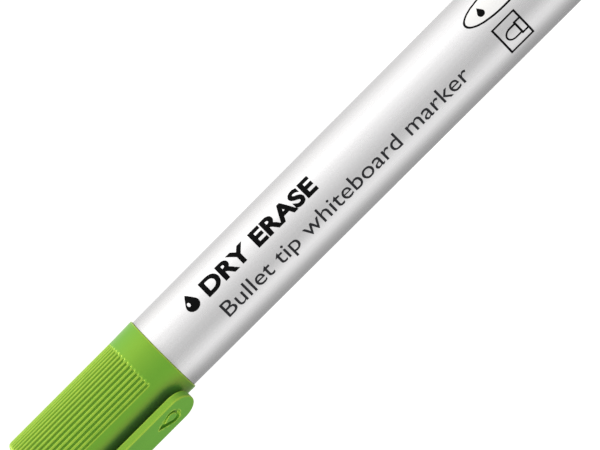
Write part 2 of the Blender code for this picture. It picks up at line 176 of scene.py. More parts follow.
def turned(name, profile, segments=SEGMENTS, closed=True):
    """A turned piece: a ring at the profile's first (radius, height), drawn on to each next one.

    A closed profile returns to its first point. An open one has a face across each end.
    """
    points = [*profile, profile[0]] if closed else profile
    radius, height = points[0]
    bpy.ops.mesh.primitive_circle_add(vertices=segments, radius=radius, location=(0, 0, height))
    piece = bpy.context.object
    piece.name = name
    settle(piece)
    open_piece(piece)
    bpy.ops.mesh.select_all(action="SELECT")
    if not closed:
        bpy.ops.mesh.edge_face_add()
        bpy.ops.mesh.select_mode(type="EDGE")
        bpy.ops.mesh.select_all(action="SELECT")
    for next_radius, next_height in points[1:]:
        rise = next_height - height
        bpy.ops.mesh.extrude_edges_move(TRANSFORM_OT_translate={"value": (0, 0, rise)})
        share = next_radius / radius
        bpy.ops.transform.resize(value=(share, share, 1), center_override=(0, 0, next_height))
        radius, height = next_radius, next_height
    if not closed:
        bpy.ops.mesh.edge_face_add()
    bpy.ops.mesh.select_all(action="SELECT")
    bpy.ops.mesh.remove_doubles(threshold=WELD)
    bpy.ops.mesh.normals_make_consistent(inside=False)
    close_piece()
    return piece


def round_ring(piece, radius, height, width, steps=ROUND_STEPS):
    """Rounds a turned piece's edge that runs round at this radius and height."""

    def on_ring(vert):
        return abs(radius_of(vert.co) - radius) < 2 * WELD and abs(vert.co.z - height) < 2 * WELD

    open_piece(piece)
    select(piece, "EDGE", lambda edge: all(on_ring(vert) for vert in edge.verts))
    bpy.ops.mesh.bevel(offset=width, segments=steps, profile=0.5)
    close_piece()


def box_piece(name, low, high):
    """A box between two corners."""
    low, high = Vector(low), Vector(high)
    bpy.ops.mesh.primitive_cube_add(size=1, location=(low + high) / 2)
    piece = bpy.context.object
    piece.name = name
    piece.scale = high - low
    return settle(piece)


def cut_across(piece, point, normal):
    """Cuts the open piece's faces along a plane, keeping both sides."""
    bpy.ops.mesh.select_all(action="SELECT")
    bpy.ops.mesh.bisect(plane_co=point, plane_no=normal)


# ---- Shader nodes ----


def add_node(tree, kind, inputs=None, **settings):
    """Adds a node. Each input takes a value, or another node's output, which it is linked to."""
    made = tree.nodes.new("ShaderNode" + kind)
    for name, value in settings.items():
        setattr(made, name, value)
    for name, value in (inputs or {}).items():
        if isinstance(value, bpy.types.NodeSocket):
            tree.links.new(value, made.inputs[name])
        else:
            made.inputs[name].default_value = value
    return made


def mix_colours(tree, share, first, second, blend="MIX"):
    mixed = add_node(tree, "Mix", data_type="RGBA", blend_type=blend)
    sockets = (mixed.inputs[0], mixed.inputs[6], mixed.inputs[7])
    for socket, value in zip(sockets, (share, first, second)):
        if isinstance(value, bpy.types.NodeSocket):
            tree.links.new(value, socket)
        else:
            socket.default_value = value
    return mixed.outputs[2]


def remap(tree, value, low, high, to_low, to_high):
    stretched = add_node(
        tree,
        "MapRange",
        {"Value": value, "From Min": low, "From Max": high, "To Min": to_low, "To Max": to_high},
    )
    return stretched.outputs["Result"]


def maths(tree, operation, first, second=0.0):
    return add_node(tree, "Math", {0: first, 1: second}, operation=operation).outputs[0]


def new_group(name, inputs, outputs):
    """An empty node group with float inputs {name: default} and outputs {name: socket type}."""
    group = bpy.data.node_groups.new(name, "ShaderNodeTree")
    for socket, default in inputs.items():
        made = group.interface.new_socket(socket, in_out="INPUT", socket_type="NodeSocketFloat")
        made.default_value = default
    for socket, kind in outputs.items():
        group.interface.new_socket(socket, in_out="OUTPUT", socket_type=kind)
    return group, group.nodes.new("NodeGroupInput"), group.nodes.new("NodeGroupOutput")


def moulded_skin():
    """A moulding's skin: a fine even grain, slow drift in gloss and shade, and faint flow marks."""
    group, given, gives = new_group(
        "moulded_skin",
        {"Grain Size": 0.0004, "Roughness": 0.4, "Spread": 0.1},
        {"Shade": "NodeSocketFloat", "Roughness": "NodeSocketFloat", "Height": "NodeSocketFloat"},
    )
    place = add_node(group, "TexCoord").outputs["Object"]
    fineness = maths(group, "DIVIDE", 1.0, given.outputs["Grain Size"])
    grain = add_node(group, "TexNoise", {"Vector": place, "Scale": fineness, "Detail": 3.0})
    drift = add_node(
        group,
        "TexNoise",
        {"Vector": place, "Scale": 110.0, "Detail": 4.0, "Roughness": 0.6},
    )
    stretched = add_node(group, "Mapping", {"Vector": place, "Scale": (1.0, 1.0, 0.08)})
    flow = add_node(
        group,
        "TexNoise",
        {"Vector": stretched.outputs[0], "Scale": 900.0, "Detail": 2.0},
    )
    drift_part = maths(group, "MULTIPLY", drift.outputs[0], 0.65)
    flow_part = maths(group, "MULTIPLY", flow.outputs[0], 0.35)
    shade = maths(group, "ADD", drift_part, flow_part)
    swing = maths(group, "MULTIPLY", maths(group, "SUBTRACT", shade, 0.5), given.outputs["Spread"])
    flow_relief = maths(group, "MULTIPLY", flow.outputs[0], 0.3)
    links = {
        "Shade": shade,
        "Roughness": maths(group, "ADD", given.outputs["Roughness"], swing),
        "Height": maths(group, "ADD", grain.outputs[0], flow_relief),
    }
    for socket, value in links.items():
        group.links.new(value, gives.inputs[socket])
    return group


FLAT_BEND = 0.02  # a bend below this is the mesh's own curve: it gets no polish, no painted highlight and no painted shade


def painted_light_and_wear():
    """Where hands and pockets rub: hairline scuffs, and edges polished in patches.

    The same masks give a painted highlight along edges, painted shade in hollows and a painted
    shadow beside the clip. The bend attribute is above 0 where a surface bends away and below 0
    in a hollow. A second attribute is 1 where the clip covers the cap closely, where the painted
    shadow is darkest.
    """
    group, given, gives = new_group(
        "painted_light_and_wear",
        {"Sharpness": 0.08, "Patchiness": 0.75},
        {
            "Edge Highlight And Polish": "NodeSocketFloat",
            "Hollow Shade": "NodeSocketFloat",
            "Clip Shadow": "NodeSocketFloat",
            "Scuffs": "NodeSocketFloat",
        },
    )
    # The mask of the painted shadow beside the clip, which the cap's shell records.
    clip_shadow = add_node(group, "Attribute", attribute_name="clip_shadow").outputs["Fac"]
    bend = add_node(group, "Attribute", attribute_name="bend").outputs["Fac"]
    place = add_node(group, "TexCoord").outputs["Object"]
    patches = add_node(
        group,
        "TexNoise",
        {"Vector": place, "Scale": 420.0, "Detail": 5.0, "Roughness": 0.65},
    )
    missing = remap(group, patches.outputs[0], 0.38, 0.62, 1.0, 0.0)
    gaps = maths(group, "MULTIPLY", missing, given.outputs["Patchiness"])
    kept = maths(group, "SUBTRACT", 1.0, gaps)
    # Edges that bend away get polish and a painted highlight.
    over = maths(group, "SUBTRACT", bend, FLAT_BEND)
    edge = maths(group, "DIVIDE", over, given.outputs["Sharpness"])
    # Hollows get painted shade.
    under = maths(group, "SUBTRACT", -FLAT_BEND, bend)
    hollow = maths(group, "DIVIDE", under, given.outputs["Sharpness"])
    # Patches in the painted shadow beside the clip.
    clip_shadow_patches = remap(group, patches.outputs[0], 0.3, 0.7, 0.9, 1.0)
    slanted = add_node(
        group,
        "Mapping",
        {"Vector": place, "Rotation": (0.5, 0.7, 0.2), "Scale": (1.0, 0.03, 1.0)},
    )
    lines = add_node(
        group,
        "TexNoise",
        {"Vector": slanted.outputs[0], "Scale": 2600.0, "Detail": 1.0},
    )
    hairs = remap(group, lines.outputs[0], 0.70, 0.76, 0.0, 1.0)
    rubbed = remap(group, patches.outputs[0], 0.55, 0.7, 0.0, 1.0)
    for value, socket in (
        (maths(group, "MULTIPLY", edge, kept), "Edge Highlight And Polish"),
        (hollow, "Hollow Shade"),
        (maths(group, "MULTIPLY", clip_shadow, clip_shadow_patches), "Clip Shadow"),
        (maths(group, "MULTIPLY", hairs, rubbed), "Scuffs"),
    ):
        limited = add_node(group, "Clamp", {"Value": value}).outputs[0]
        group.links.new(limited, gives.inputs[socket])
    return group


CLIP_SHADOW_COLOUR = (0.06, 0.095, 0.05)  # the dull grey green of the painted shadow beside the clip

# How much colour moulded plastic gets from the painted edge highlight, the painted shade in
# hollows, the painted shadow beside the clip and the scuffs, and what polish and scuffs add
# to the roughness.
EDGE_HIGHLIGHT_COVER, HOLLOW_SHADE_COVER, CLIP_SHADOW_COVER, SCUFF_COVER = 0.62, 0.5, 0.8, 0.06
EDGE_POLISH, SCUFF_DULLING = -0.08, 0.15

SKIN = moulded_skin()
LIGHT_AND_WEAR_GROUP = painted_light_and_wear()


def place_group(tree, group, **inputs):
    placed = tree.nodes.new("ShaderNodeGroup")
    placed.node_tree = group
    for name, value in inputs.items():
        placed.inputs[name.replace("_", " ").title()].default_value = value
    return placed


def new_material(name, **constants):
    """A material with a Principled shader, and values for its plain sockets: Coat_Weight=0.1."""
    material = bpy.data.materials.new(name)
    material.use_nodes = True
    tree = material.node_tree
    shader = tree.nodes["Principled BSDF"]
    for socket, value in constants.items():
        shader.inputs[socket.replace("_", " ")].default_value = value
    return material, tree, shader


def finish_surface(tree, shader, colour, roughness, height, relief):
    """Links a colour, a roughness and a bump of this many metres to the shader."""
    tree.links.new(colour, shader.inputs["Base Color"])
    tree.links.new(roughness, shader.inputs["Roughness"])
    bump = add_node(tree, "Bump", {"Height": height, "Distance": relief, "Strength": 1.0})
    tree.links.new(bump.outputs[0], shader.inputs["Normal"])


def moulded_plastic(name, colour, dark, light, roughness, grain, relief, **constants):
    """Satin moulded plastic: its shade drifts, its edges are polished and it is scuffed.

    Its edges and ridge crests get a painted highlight, its hollows painted shade, and the cap a
    painted shadow beside the clip.
    """
    material, tree, shader = new_material(name, **constants)
    skin = place_group(tree, SKIN, grain_size=grain, roughness=roughness, spread=0.16)
    light_and_wear = place_group(tree, LIGHT_AND_WEAR_GROUP, sharpness=0.08, patchiness=0.3)
    shade_share = remap(tree, skin.outputs["Shade"], 0.3, 0.7, 0.0, 1.0)
    base = mix_colours(tree, shade_share, (*dark, 1), (*colour, 1))
    # A painted highlight along edges, rims and ridge crests, in the light colour.
    edge_highlight_share = maths(tree, "MULTIPLY", light_and_wear.outputs["Edge Highlight And Polish"], EDGE_HIGHLIGHT_COVER)
    rubbed = mix_colours(tree, edge_highlight_share, base, (*light, 1))
    # Painted shade in hollows and groove bottoms, in a darker copy of the plastic's colour.
    hollow_shade_share = maths(tree, "MULTIPLY", light_and_wear.outputs["Hollow Shade"], HOLLOW_SHADE_COVER)
    hollow_shaded = mix_colours(tree, hollow_shade_share, rubbed, (*(0.7 * part for part in dark), 1))
    # A painted shadow beside the clip, darkest behind the arm.
    clip_shadow_share = maths(tree, "MULTIPLY", light_and_wear.outputs["Clip Shadow"], CLIP_SHADOW_COVER)
    clip_shadowed = mix_colours(tree, clip_shadow_share, hollow_shaded, (*CLIP_SHADOW_COLOUR, 1))
    scuff_share = maths(tree, "MULTIPLY", light_and_wear.outputs["Scuffs"], SCUFF_COVER)
    scuffed = mix_colours(tree, scuff_share, clip_shadowed, (*light, 1))
    polish = maths(tree, "MULTIPLY", light_and_wear.outputs["Edge Highlight And Polish"], EDGE_POLISH)
    gloss = maths(tree, "ADD", skin.outputs["Roughness"], polish)
    dulling = maths(tree, "MULTIPLY", light_and_wear.outputs["Scuffs"], SCUFF_DULLING)
    rough = maths(tree, "ADD", gloss, dulling)
    finish_surface(tree, shader, scuffed, rough, skin.outputs["Height"], relief)
    return material


def silver_lacquer():
    """Satin silver lacquer: fine metal flake drawn faintly along the tube, and hairline scuffs."""
    material, tree, shader = new_material(
        "silver lacquer",
        Metallic=0.87,
        Specular_Tint=(0.66, 0.66, 0.67, 1.0),
        Coat_Weight=0.12,
        Coat_Roughness=0.25,
    )
    place = add_node(tree, "TexCoord").outputs["Object"]
    glint = add_node(tree, "TexVoronoi", {"Vector": place, "Scale": 9000.0}).outputs["Color"]
    drawn = add_node(tree, "Mapping", {"Vector": place, "Scale": (1.0, 1.0, 0.02)})
    streaks = add_node(
        tree,
        "TexNoise",
        {"Vector": drawn.outputs[0], "Scale": 1500.0, "Detail": 3.0},
    )
    skin = place_group(tree, SKIN, grain_size=0.0002, roughness=0.27, spread=0.10)
    scuffs = place_group(tree, LIGHT_AND_WEAR_GROUP).outputs["Scuffs"]
    base = mix_colours(tree, glint, (0.81, 0.81, 0.815, 1), (0.885, 0.885, 0.89, 1))
    streak_share = remap(tree, streaks.outputs[0], 0.35, 0.65, 0.0, 0.35)
    drawn_base = mix_colours(tree, streak_share, base, (0.79, 0.79, 0.795, 1))
    scuff_share = maths(tree, "MULTIPLY", scuffs, 0.25)
    colour = mix_colours(tree, scuff_share, drawn_base, (0.62, 0.62, 0.63, 1))
    rough = maths(tree, "ADD", skin.outputs["Roughness"], maths(tree, "MULTIPLY", scuffs, 0.2))
    height = maths(tree, "ADD", maths(tree, "MULTIPLY", glint, 0.4), streaks.outputs[0])
    finish_surface(tree, shader, colour, rough, height, 0.0000008)
    return material


def fibre(name, dry, soaked, soaked_from, soaked_to, roughness):
    """Bonded fibre with its strands along Z, darker with ink from one height to the other."""
    material, tree, shader = new_material(name, Sheen_Weight=0.2)
    place = add_node(tree, "TexCoord").outputs["Object"]
    strands_place = add_node(tree, "Mapping", {"Vector": place, "Scale": (1.0, 1.0, 0.06)})
    strands = add_node(
        tree,
        "TexNoise",
        {"Vector": strands_place.outputs[0], "Scale": 5200.0, "Detail": 4.0},
    )
    clumps = add_node(
        tree,
        "TexNoise",
        {"Vector": place, "Scale": 700.0, "Detail": 4.0, "Roughness": 0.7},
    )
    height_up = add_node(tree, "SeparateXYZ", {0: place}).outputs["Z"]
    wetness = remap(tree, height_up, soaked_from, soaked_to, 0.0, 1.0)
    clump_swing = maths(tree, "SUBTRACT", clumps.outputs[0], 0.5)
    patchy = maths(tree, "ADD", wetness, maths(tree, "MULTIPLY", clump_swing, 0.6))
    share = add_node(tree, "Clamp", {"Value": patchy}).outputs[0]
    inked = mix_colours(tree, share, (*dry, 1), (*soaked, 1))
    strand_share = remap(tree, strands.outputs[0], 0.35, 0.65, 0.0, 0.5)
    colour = mix_colours(tree, strand_share, inked, (*(0.45 * part for part in soaked), 1))
    rough = remap(tree, clumps.outputs[0], 0.3, 0.7, roughness - 0.1, roughness + 0.08)
    finish_surface(tree, shader, colour, rough, strands.outputs[0], 0.00003)
    return material


def printed_ink(name, colour, thin_colour):
    """Pad-printed ink: opaque, a little uneven, with pinholes no wider than the flake below it."""
    material, tree, shader = new_material(name, Specular_IOR_Level=0.06)
    skin = place_group(tree, SKIN, grain_size=0.00012, roughness=0.48, spread=0.2)
    place = add_node(tree, "TexCoord").outputs["Object"]
    spots = add_node(tree, "TexNoise", {"Vector": place, "Scale": 7000.0, "Detail": 2.0})
    share = remap(tree, spots.outputs[0], 0.62, 0.72, 0.0, 0.5)
    ink = mix_colours(tree, share, (*colour, 1), (*thin_colour, 1))
    finish_surface(tree, shader, ink, skin.outputs["Roughness"], skin.outputs["Height"], 0.000002)
    return material


def clear_film():
    """The reservoir's film: clear plastic, faintly green from the ink and a little crinkled."""
    material, tree, shader = new_material("reservoir film", IOR=1.49, Transmission_Weight=0.7)
    skin = place_group(tree, SKIN, grain_size=0.0009, roughness=0.22, spread=0.2)
    share = remap(tree, skin.outputs["Shade"], 0.3, 0.7, 0.0, 1.0)
    colour = mix_colours(tree, share, (0.62, 0.80, 0.64, 1), (0.80, 0.90, 0.81, 1))
    rough, height = skin.outputs["Roughness"], skin.outputs["Height"]
    finish_surface(tree, shader, colour, rough, height, 0.00002)
    return material


def paper_floor():
    """A white sweep with a faint tooth. The marker is lit through it, as on a light table."""
    material, tree, shader = new_material("studio white", Specular_IOR_Level=0.2)
    skin = place_group(tree, SKIN, grain_size=0.002, roughness=0.85, spread=0.1)
    share = remap(tree, skin.outputs["Shade"], 0.3, 0.7, 0.0, 1.0)
    colour = mix_colours(tree, share, (0.60, 0.605, 0.615, 1), (0.63, 0.635, 0.645, 1))
    rough, height = skin.outputs["Roughness"], skin.outputs["Height"]
    finish_surface(tree, shader, colour, rough, height, 0.00005)
    seen = add_node(tree, "LightPath").outputs["Is Camera Ray"]
    clear = add_node(tree, "BsdfTransparent")
    mixed = add_node(tree, "MixShader", {0: seen, 1: clear.outputs[0], 2: shader.outputs[0]})
    tree.links.new(mixed.outputs[0], tree.nodes["Material Output"].inputs["Surface"])
    return material


green = moulded_plastic(
    "green plastic",
    (0.083, 0.350, 0.037),
    dark=(0.075, 0.326, 0.034),
    # light: the painted highlight along edges, and also the colour of scuffs
    light=(0.42, 0.62, 0.07),
    roughness=0.34,
    grain=0.00025,
    relief=0.000003,
    IOR=1.72,
    Specular_IOR_Level=1.0,
    Specular_Tint=(1.0, 0.97, 0.10, 1.0),
)
white = moulded_plastic(
    "white plastic",
    (0.84, 0.85, 0.83),
    dark=(0.78, 0.80, 0.77),
    # light: the painted highlight along edges, and also the colour of scuffs
    light=(0.90, 0.90, 0.89),
    roughness=0.45,
    grain=0.0003,
    relief=0.000003,
)
silver = silver_lacquer()
black_ink = printed_ink("black ink", (0.0012, 0.0012, 0.0015), (0.008, 0.008, 0.009))
grey_ink = printed_ink("dark grey ink", (0.024, 0.024, 0.027), (0.05, 0.05, 0.055))
white_ink = printed_ink("white ink", (0.86, 0.86, 0.86), (0.78, 0.78, 0.79))
nib_felt = fibre(
    "nib felt",
    dry=(0.10, 0.30, 0.09),
    soaked=(0.012, 0.10, 0.02),
    soaked_from=nib_high.z - mm(4),
    soaked_to=nib_high.z,
    roughness=0.8,
)
ink_core = fibre(
    "inked core",
    dry=(0.05, 0.24, 0.06),
    soaked=(0.012, 0.12, 0.025),
    soaked_from=0.0,
    soaked_to=nib_low.z,
    roughness=0.85,
)
film = clear_film()


def mark_bends(piece):
    """Records how far the surface bends at each point: above 0 on an edge, below 0 in a hollow."""
    cage = bmesh.new()
    cage.from_mesh(piece.data)
    bends = []
    for vert in cage.verts:
        ways = [(edge.other_vert(vert).co - vert.co).normalized() for edge in vert.link_edges]
        rises = [way.dot(vert.normal) for way in ways]
        bends.append(-sum(rises) / len(rises))
    cage.free()
    bend = piece.data.attributes.new("bend", "FLOAT", "POINT")
    bend.data.foreach_set("value", bends)


def dress(piece, material):
    """Gives a finished piece its material."""
    piece.data.materials.clear()
    piece.data.materials.append(material)
    return piece


# ---- Barrel, end plug, front section and nib ----


def make_barrel():
    """The drafted tube with softly rounded rims, whose front one meets the cap's mouth."""
    rim = MOUTH_Z - mm(0.02)
    profile = [
        (FRONT_RADIUS - BARREL_WALL, rim),
        (FRONT_RADIUS, rim),
        (REAR_RADIUS, barrel_low.z),
        (REAR_RADIUS - BARREL_WALL, barrel_low.z),
    ]
    barrel = turned("barrel_tube", profile)
    round_ring(barrel, FRONT_RADIUS, rim, mm(0.08))
    round_ring(barrel, REAR_RADIUS, barrel_low.z, mm(0.3))
    shade(barrel)
    mark_bends(barrel)
    dress(barrel, silver)
    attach(barrel, "barrel")
    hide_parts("barrel")
    return barrel


def make_end_plug():
    """The rear stopper: a post with a gate mark and a ring in its face, a collar and a spigot."""
    post = SEAT_RADIUS
    collar = plug_high.x
    spigot = REAR_RADIUS - BARREL_WALL - mm(0.17)
    hollow = spigot - mm(1.1)
    step_low, step_high = mm(6.8), mm(8.0)
    floor = step_high + mm(1.4)
    top = plug_high.z
    gate, gate_depth = mm(0.7), mm(0.12)
    ring, ring_width, ring_depth = mm(5.2), mm(0.25), mm(0.15)
    profile = [
        (gate, gate_depth),
        (gate, 0.0),
        (ring, 0.0),
        (ring, ring_depth),
        (ring + ring_width, ring_depth),
        (ring + ring_width, 0.0),
        (post, 0.0),
        (post, step_low),
        (collar, step_low),
        (collar, step_high),
        (spigot, step_high),
        (spigot, top),
        (hollow, top),
        (hollow, floor),
    ]
    plug = turned("rear_plug", profile, closed=False)
    # Rows beside the rims, so that the polish and the painted highlight on a rim stay on it.
    beside_step = (step_low - mm(0.4), step_low + mm(0.6), step_high + mm(0.5))
    open_piece(plug)
    for height in (mm(0.8), *beside_step, top - mm(0.6)):
        cut_across(plug, (0, 0, height), (0, 0, 1))
    close_piece()
    for radius, height, width in (
        (post, 0.0, mm(0.6)),
        (post, step_low, mm(0.2)),
        (collar, step_low, mm(0.3)),
        (collar, step_high, mm(0.25)),
        (spigot, top, mm(0.4)),
    ):
        round_ring(plug, radius, height, width)
    shade(plug)
    mark_bends(plug)
    dress(plug, green)
    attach(plug, "barrel")
    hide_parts("end_plug")


def make_front_section():
    """The nib's holder: tail, seat with its low snap bead, cone, nozzle and four vent slots."""
    tail = FRONT_RADIUS - BARREL_WALL - mm(0.15)
    hollow = tail - mm(1.0)
    seat_low, seat_top = MOUTH_Z, MOUTH_Z + mm(8.0)
    nose_top = seat_top + mm(7.0)
    cone_low, cone_high = SEAT_RADIUS - mm(1.0), NOZZLE_RADIUS + mm(0.3)
    shoulder_top = seat_top + mm(1.0)
    bead, bead_half, bead_top = seat_low + mm(2.6), mm(0.6), SEAT_RADIUS + mm(0.1)
    profile = [
        (NIB_BORE, front_high.z),
        (NOZZLE_RADIUS, front_high.z),
        (NOZZLE_RADIUS, nose_top),
        (cone_high, nose_top),
        (cone_low, shoulder_top),
        (SEAT_RADIUS, seat_top),
        (SEAT_RADIUS, bead + bead_half),
        (bead_top, bead),
        (SEAT_RADIUS, bead - bead_half),
        (SEAT_RADIUS, seat_low),
        (tail, seat_low),
        (tail, front_low.z),
        (hollow, front_low.z),
        (hollow, seat_top),
        (NIB_BORE, seat_top + mm(4.0)),
    ]
    section = turned("nib_holder", profile)
    for radius, height, width in (
        (NOZZLE_RADIUS, front_high.z, mm(0.3)),
        (cone_high, nose_top, mm(0.15)),
        (cone_low, shoulder_top, mm(0.4)),
        (SEAT_RADIUS, seat_top, mm(0.35)),
        (bead_top, bead, mm(0.3)),
        (tail, front_low.z, mm(0.4)),
    ):
        round_ring(section, radius, height, width)
    slot_reach, slot_half = NIB_BORE + mm(0.45), mm(0.3)
    for turn in (0, 90):
        slot_low = (-slot_reach, -slot_half, nose_top - mm(1.0))
        slot_high = (slot_reach, slot_half, front_high.z + mm(0.5))
        slot = box_piece("vent_slot", slot_low, slot_high)
        slot.rotation_euler.z = math.radians(turn)
        combine(section, settle(slot), "DIFFERENCE")
    shade(section)
    mark_bends(section)
    dress(section, silver)
    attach(section, "barrel")
    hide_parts("front_section")


def make_nib():
    """The bullet nib: a felt rod that narrows along a quarter ellipse to a rounded tip."""
    length, flat, steps = mm(3.4), mm(0.45), 14
    base = nib_high.z - length
    angles = [math.pi / 2 * (1 - step / steps) for step in range(steps + 1)]
    bullet = [
        (flat + (NIB_RADIUS - flat) * math.cos(angle), base + length * math.sin(angle))
        for angle in angles
    ]
    nib = turned("bullet_nib", [*bullet, (NIB_RADIUS, nib_low.z)], segments=64, closed=False)
    round_ring(nib, flat, nib_high.z, mm(0.2))
    round_ring(nib, NIB_RADIUS, nib_low.z, mm(0.5))
    shade(nib, math.radians(50))
    dress(nib, nib_felt)
    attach(nib, "barrel")
    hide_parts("nib")


# ---- Cap ----

CLIP_TURN = math.radians(-90)
CAP_SKIN = CAP_BORE + mm(0.4)  # points further out than this are on the cap's outer wall
GROOVES_AROUND = 55  # as many as would fit, though the panel behind the clip has none
PANEL_GROOVES = 6  # how many are left out on each side of the clip's middle
COLUMNS_PER_GROOVE = 10
CAP_COLUMNS = GROOVES_AROUND * COLUMNS_PER_GROOVE
GROOVE_DEPTH = mm(0.33)
GROOVE_SECTION = (1.0, 0.88, 0.52, 0.18, 0.03)  # depth at the middle column and the next ones out
GROOVE_START_Z = MOUTH_Z + mm(5.1)
GROOVE_FADE = mm(0.8)
CLIP_SHADOW_CORE, CLIP_SHADOW_EDGE = math.radians(19), math.radians(37)  # where the painted shadow beside the clip is full and where it fades out, as turns from the clip's middle


def column_of(point):
    """A point's column from the groove that it lies in, or None on the smooth panel."""
    turn = (math.atan2(point.y, point.x) - CLIP_TURN) % math.tau
    column = round(turn / math.tau * CAP_COLUMNS)
    groove = round(column / COLUMNS_PER_GROOVE)
    if min(groove, GROOVES_AROUND - groove) <= PANEL_GROOVES:
        return None
    return abs(column - groove * COLUMNS_PER_GROOVE)


def eased(share):
    """A share from 0 to 1, which starts and stops gently."""
    limited = min(max(share, 0.0), 1.0)
    return limited * limited * (3 - 2 * limited)


def press_grooves(shell):
    """Scales each groove's columns inwards, row by row, fading in over the groove's start."""
    open_piece(shell)
    cage = bmesh.from_edit_mesh(shell.data)
    heights = sorted({round(vert.co.z, 7) for vert in cage.verts if radius_of(vert.co) > CAP_SKIN})
    for height in heights:
        run = (height - GROOVE_START_Z) / GROOVE_FADE
        if run <= 0:
            continue
        fade = eased(run)
        for column, share in enumerate(GROOVE_SECTION):

            def in_groove(vert):
                return (
                    abs(vert.co.z - height) < WELD
                    and radius_of(vert.co) > CAP_SKIN
                    and column_of(vert.co) == column
                )

            select(shell, "VERT", in_groove)
            cage = bmesh.from_edit_mesh(shell.data)
            chosen = next((vert for vert in cage.verts if vert.select), None)
            if chosen is None:
                continue
            here = radius_of(chosen.co)
            floor = CAP_MOUTH_RADIUS - CAP_DRAFT - GROOVE_DEPTH * share * fade
            if here > floor:
                size = floor / here
                bpy.ops.transform.resize(value=(size, size, 1), center_override=(0, 0, height))
    close_piece()


def mark_clip_shadow(shell):
    """Records where the painted shadow beside the clip falls: 1 behind the arm, fading out round
    it.
    """
    values = []
    for vert in shell.data.vertices:
        turn = abs((math.atan2(vert.co.y, vert.co.x) - CLIP_TURN + math.pi) % math.tau - math.pi)
        across = eased((CLIP_SHADOW_EDGE - turn) / (CLIP_SHADOW_EDGE - CLIP_SHADOW_CORE))
        along = eased((vert.co.z - clip_low.z + mm(0.3)) / mm(3.2))
        outside = radius_of(vert.co) > CAP_SKIN
        values.append(across * along * outside)
    clip_shadow = shell.data.attributes.new("clip_shadow", "FLOAT", "POINT")
    clip_shadow.data.foreach_set("value", values)


def make_cap_shell():
    """The cap: lip, smooth collar, pressed grip grooves, rounded closed end and stepped bore.

    Rows just beside an edge keep its polish, painted highlight and painted shade on it.
    """
    end_radius = CAP_MOUTH_RADIUS - CAP_DRAFT
    fillet, lip = mm(1.0), mm(0.13)
    ceiling = CAP_TOP_Z - mm(1.2)
    narrow = MOUTH_Z + mm(9.5)
    arc_steps = 6
    corner = [
        (
            end_radius - fillet + fillet * math.cos(math.pi / 2 * step / arc_steps),
            CAP_TOP_Z - fillet + fillet * math.sin(math.pi / 2 * step / arc_steps),
        )
        for step in range(arc_steps, -1, -1)
    ]
    fade_rows = [
        (end_radius, GROOVE_START_Z + GROOVE_FADE * share)
        for share in (1.2, 1.0, 0.85, 0.7, 0.55, 0.4, 0.25, 0.12, 0.0, -0.3, -0.6)
    ]
    gate, ring, sunk, beside = mm(0.8), mm(5.6), CAP_TOP_Z - mm(0.15), mm(0.15)
    profile = [
        (gate, sunk),
        (gate, CAP_TOP_Z),
        (gate + beside, CAP_TOP_Z),
        (ring - beside, CAP_TOP_Z),
        (ring, CAP_TOP_Z),
        (ring + mm(0.12), sunk),
        (ring + mm(0.30), sunk),
        (ring + mm(0.42), CAP_TOP_Z),
        (ring + mm(0.42) + beside, CAP_TOP_Z),
        *corner,
        (end_radius, CAP_TOP_Z - fillet - beside),
        *fade_rows,
        (CAP_MOUTH_RADIUS, MOUTH_Z + lip + beside),
        (CAP_MOUTH_RADIUS, MOUTH_Z + lip),
        (CAP_MOUTH_RADIUS - lip * 0.3, MOUTH_Z + lip * 0.3),
        (CAP_MOUTH_RADIUS - lip, MOUTH_Z),
        (CAP_BORE + lip, MOUTH_Z),
        (CAP_BORE, MOUTH_Z + lip),
        (CAP_BORE, narrow),
        (CAP_UPPER_BORE, narrow + mm(0.4)),
        (CAP_UPPER_BORE, ceiling),
    ]
    shell = turned("cap_body", profile, segments=CAP_COLUMNS, closed=False)
    press_grooves(shell)
    shade(shell, math.radians(50))
    mark_bends(shell)
    # Records where the painted shadow beside the clip falls.
    mark_clip_shadow(shell)
    dress(shell, green)
    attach(shell, "cap")
    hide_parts("cap_shell")


def make_liner():
    """The inner seal: a flange under the closed end, and a sleeve that fits over the nozzle."""
    bore, wall = NOZZLE_RADIUS + mm(0.15), mm(0.8)
    flange_low = liner_high.z - mm(0.8)
    profile = [
        (mm(0.6), liner_high.z),
        (liner_high.x, liner_high.z),
        (liner_high.x, flange_low),
        (bore + wall, flange_low),
        (bore + wall, liner_low.z),
        (bore + wall / 2, liner_low.z),
        (bore, liner_low.z + wall / 2),
        (bore, flange_low),
    ]
    liner = turned("seal_cup", profile, segments=64, closed=False)
    round_ring(liner, bore + wall, flange_low, mm(0.4))
    round_ring(liner, bore + wall, liner_low.z, mm(0.15))
    shade(liner)
    mark_bends(liner)
    dress(liner, white)
    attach(liner, "cap")
    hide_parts("cap_liner")


# ---- Clip, moulded with the cap, whose arm bends just below its root ----

HINGE_Z = clip_high.z + mm(0.2)  # where the arm meets its root
CLIP_TOP_Z = CAP_TOP_Z - mm(0.5)
CLIP_THICKNESS = mm(1.5)
CLIP_OUTER_Y = shell_low.y  # the root block's outer face
CLIP_END_ROUND = clip_high.x * 0.985  # just under half the width, so that the rounds don't meet
CLIP_TOP_ROUND = mm(2.2)
CLIP_EDGE_ROUND = mm(0.28)
DROP_HALF, BOSS_HALF = mm(1.75), mm(0.95)  # the sunk drop, and the one left standing in it
DROP_Z = clip_low.z + mm(4.9)


def drop_outline(size, steps=40):
    """An ink drop's outline about its round part, point up: a circle, and tangents to a point."""
    half_angle = math.asin(0.5)
    turns = [half_angle - (math.pi + 2 * half_angle) * step / steps for step in range(steps + 1)]
    return [(size * math.cos(turn), size * math.sin(turn)) for turn in turns] + [(0.0, 2 * size)]


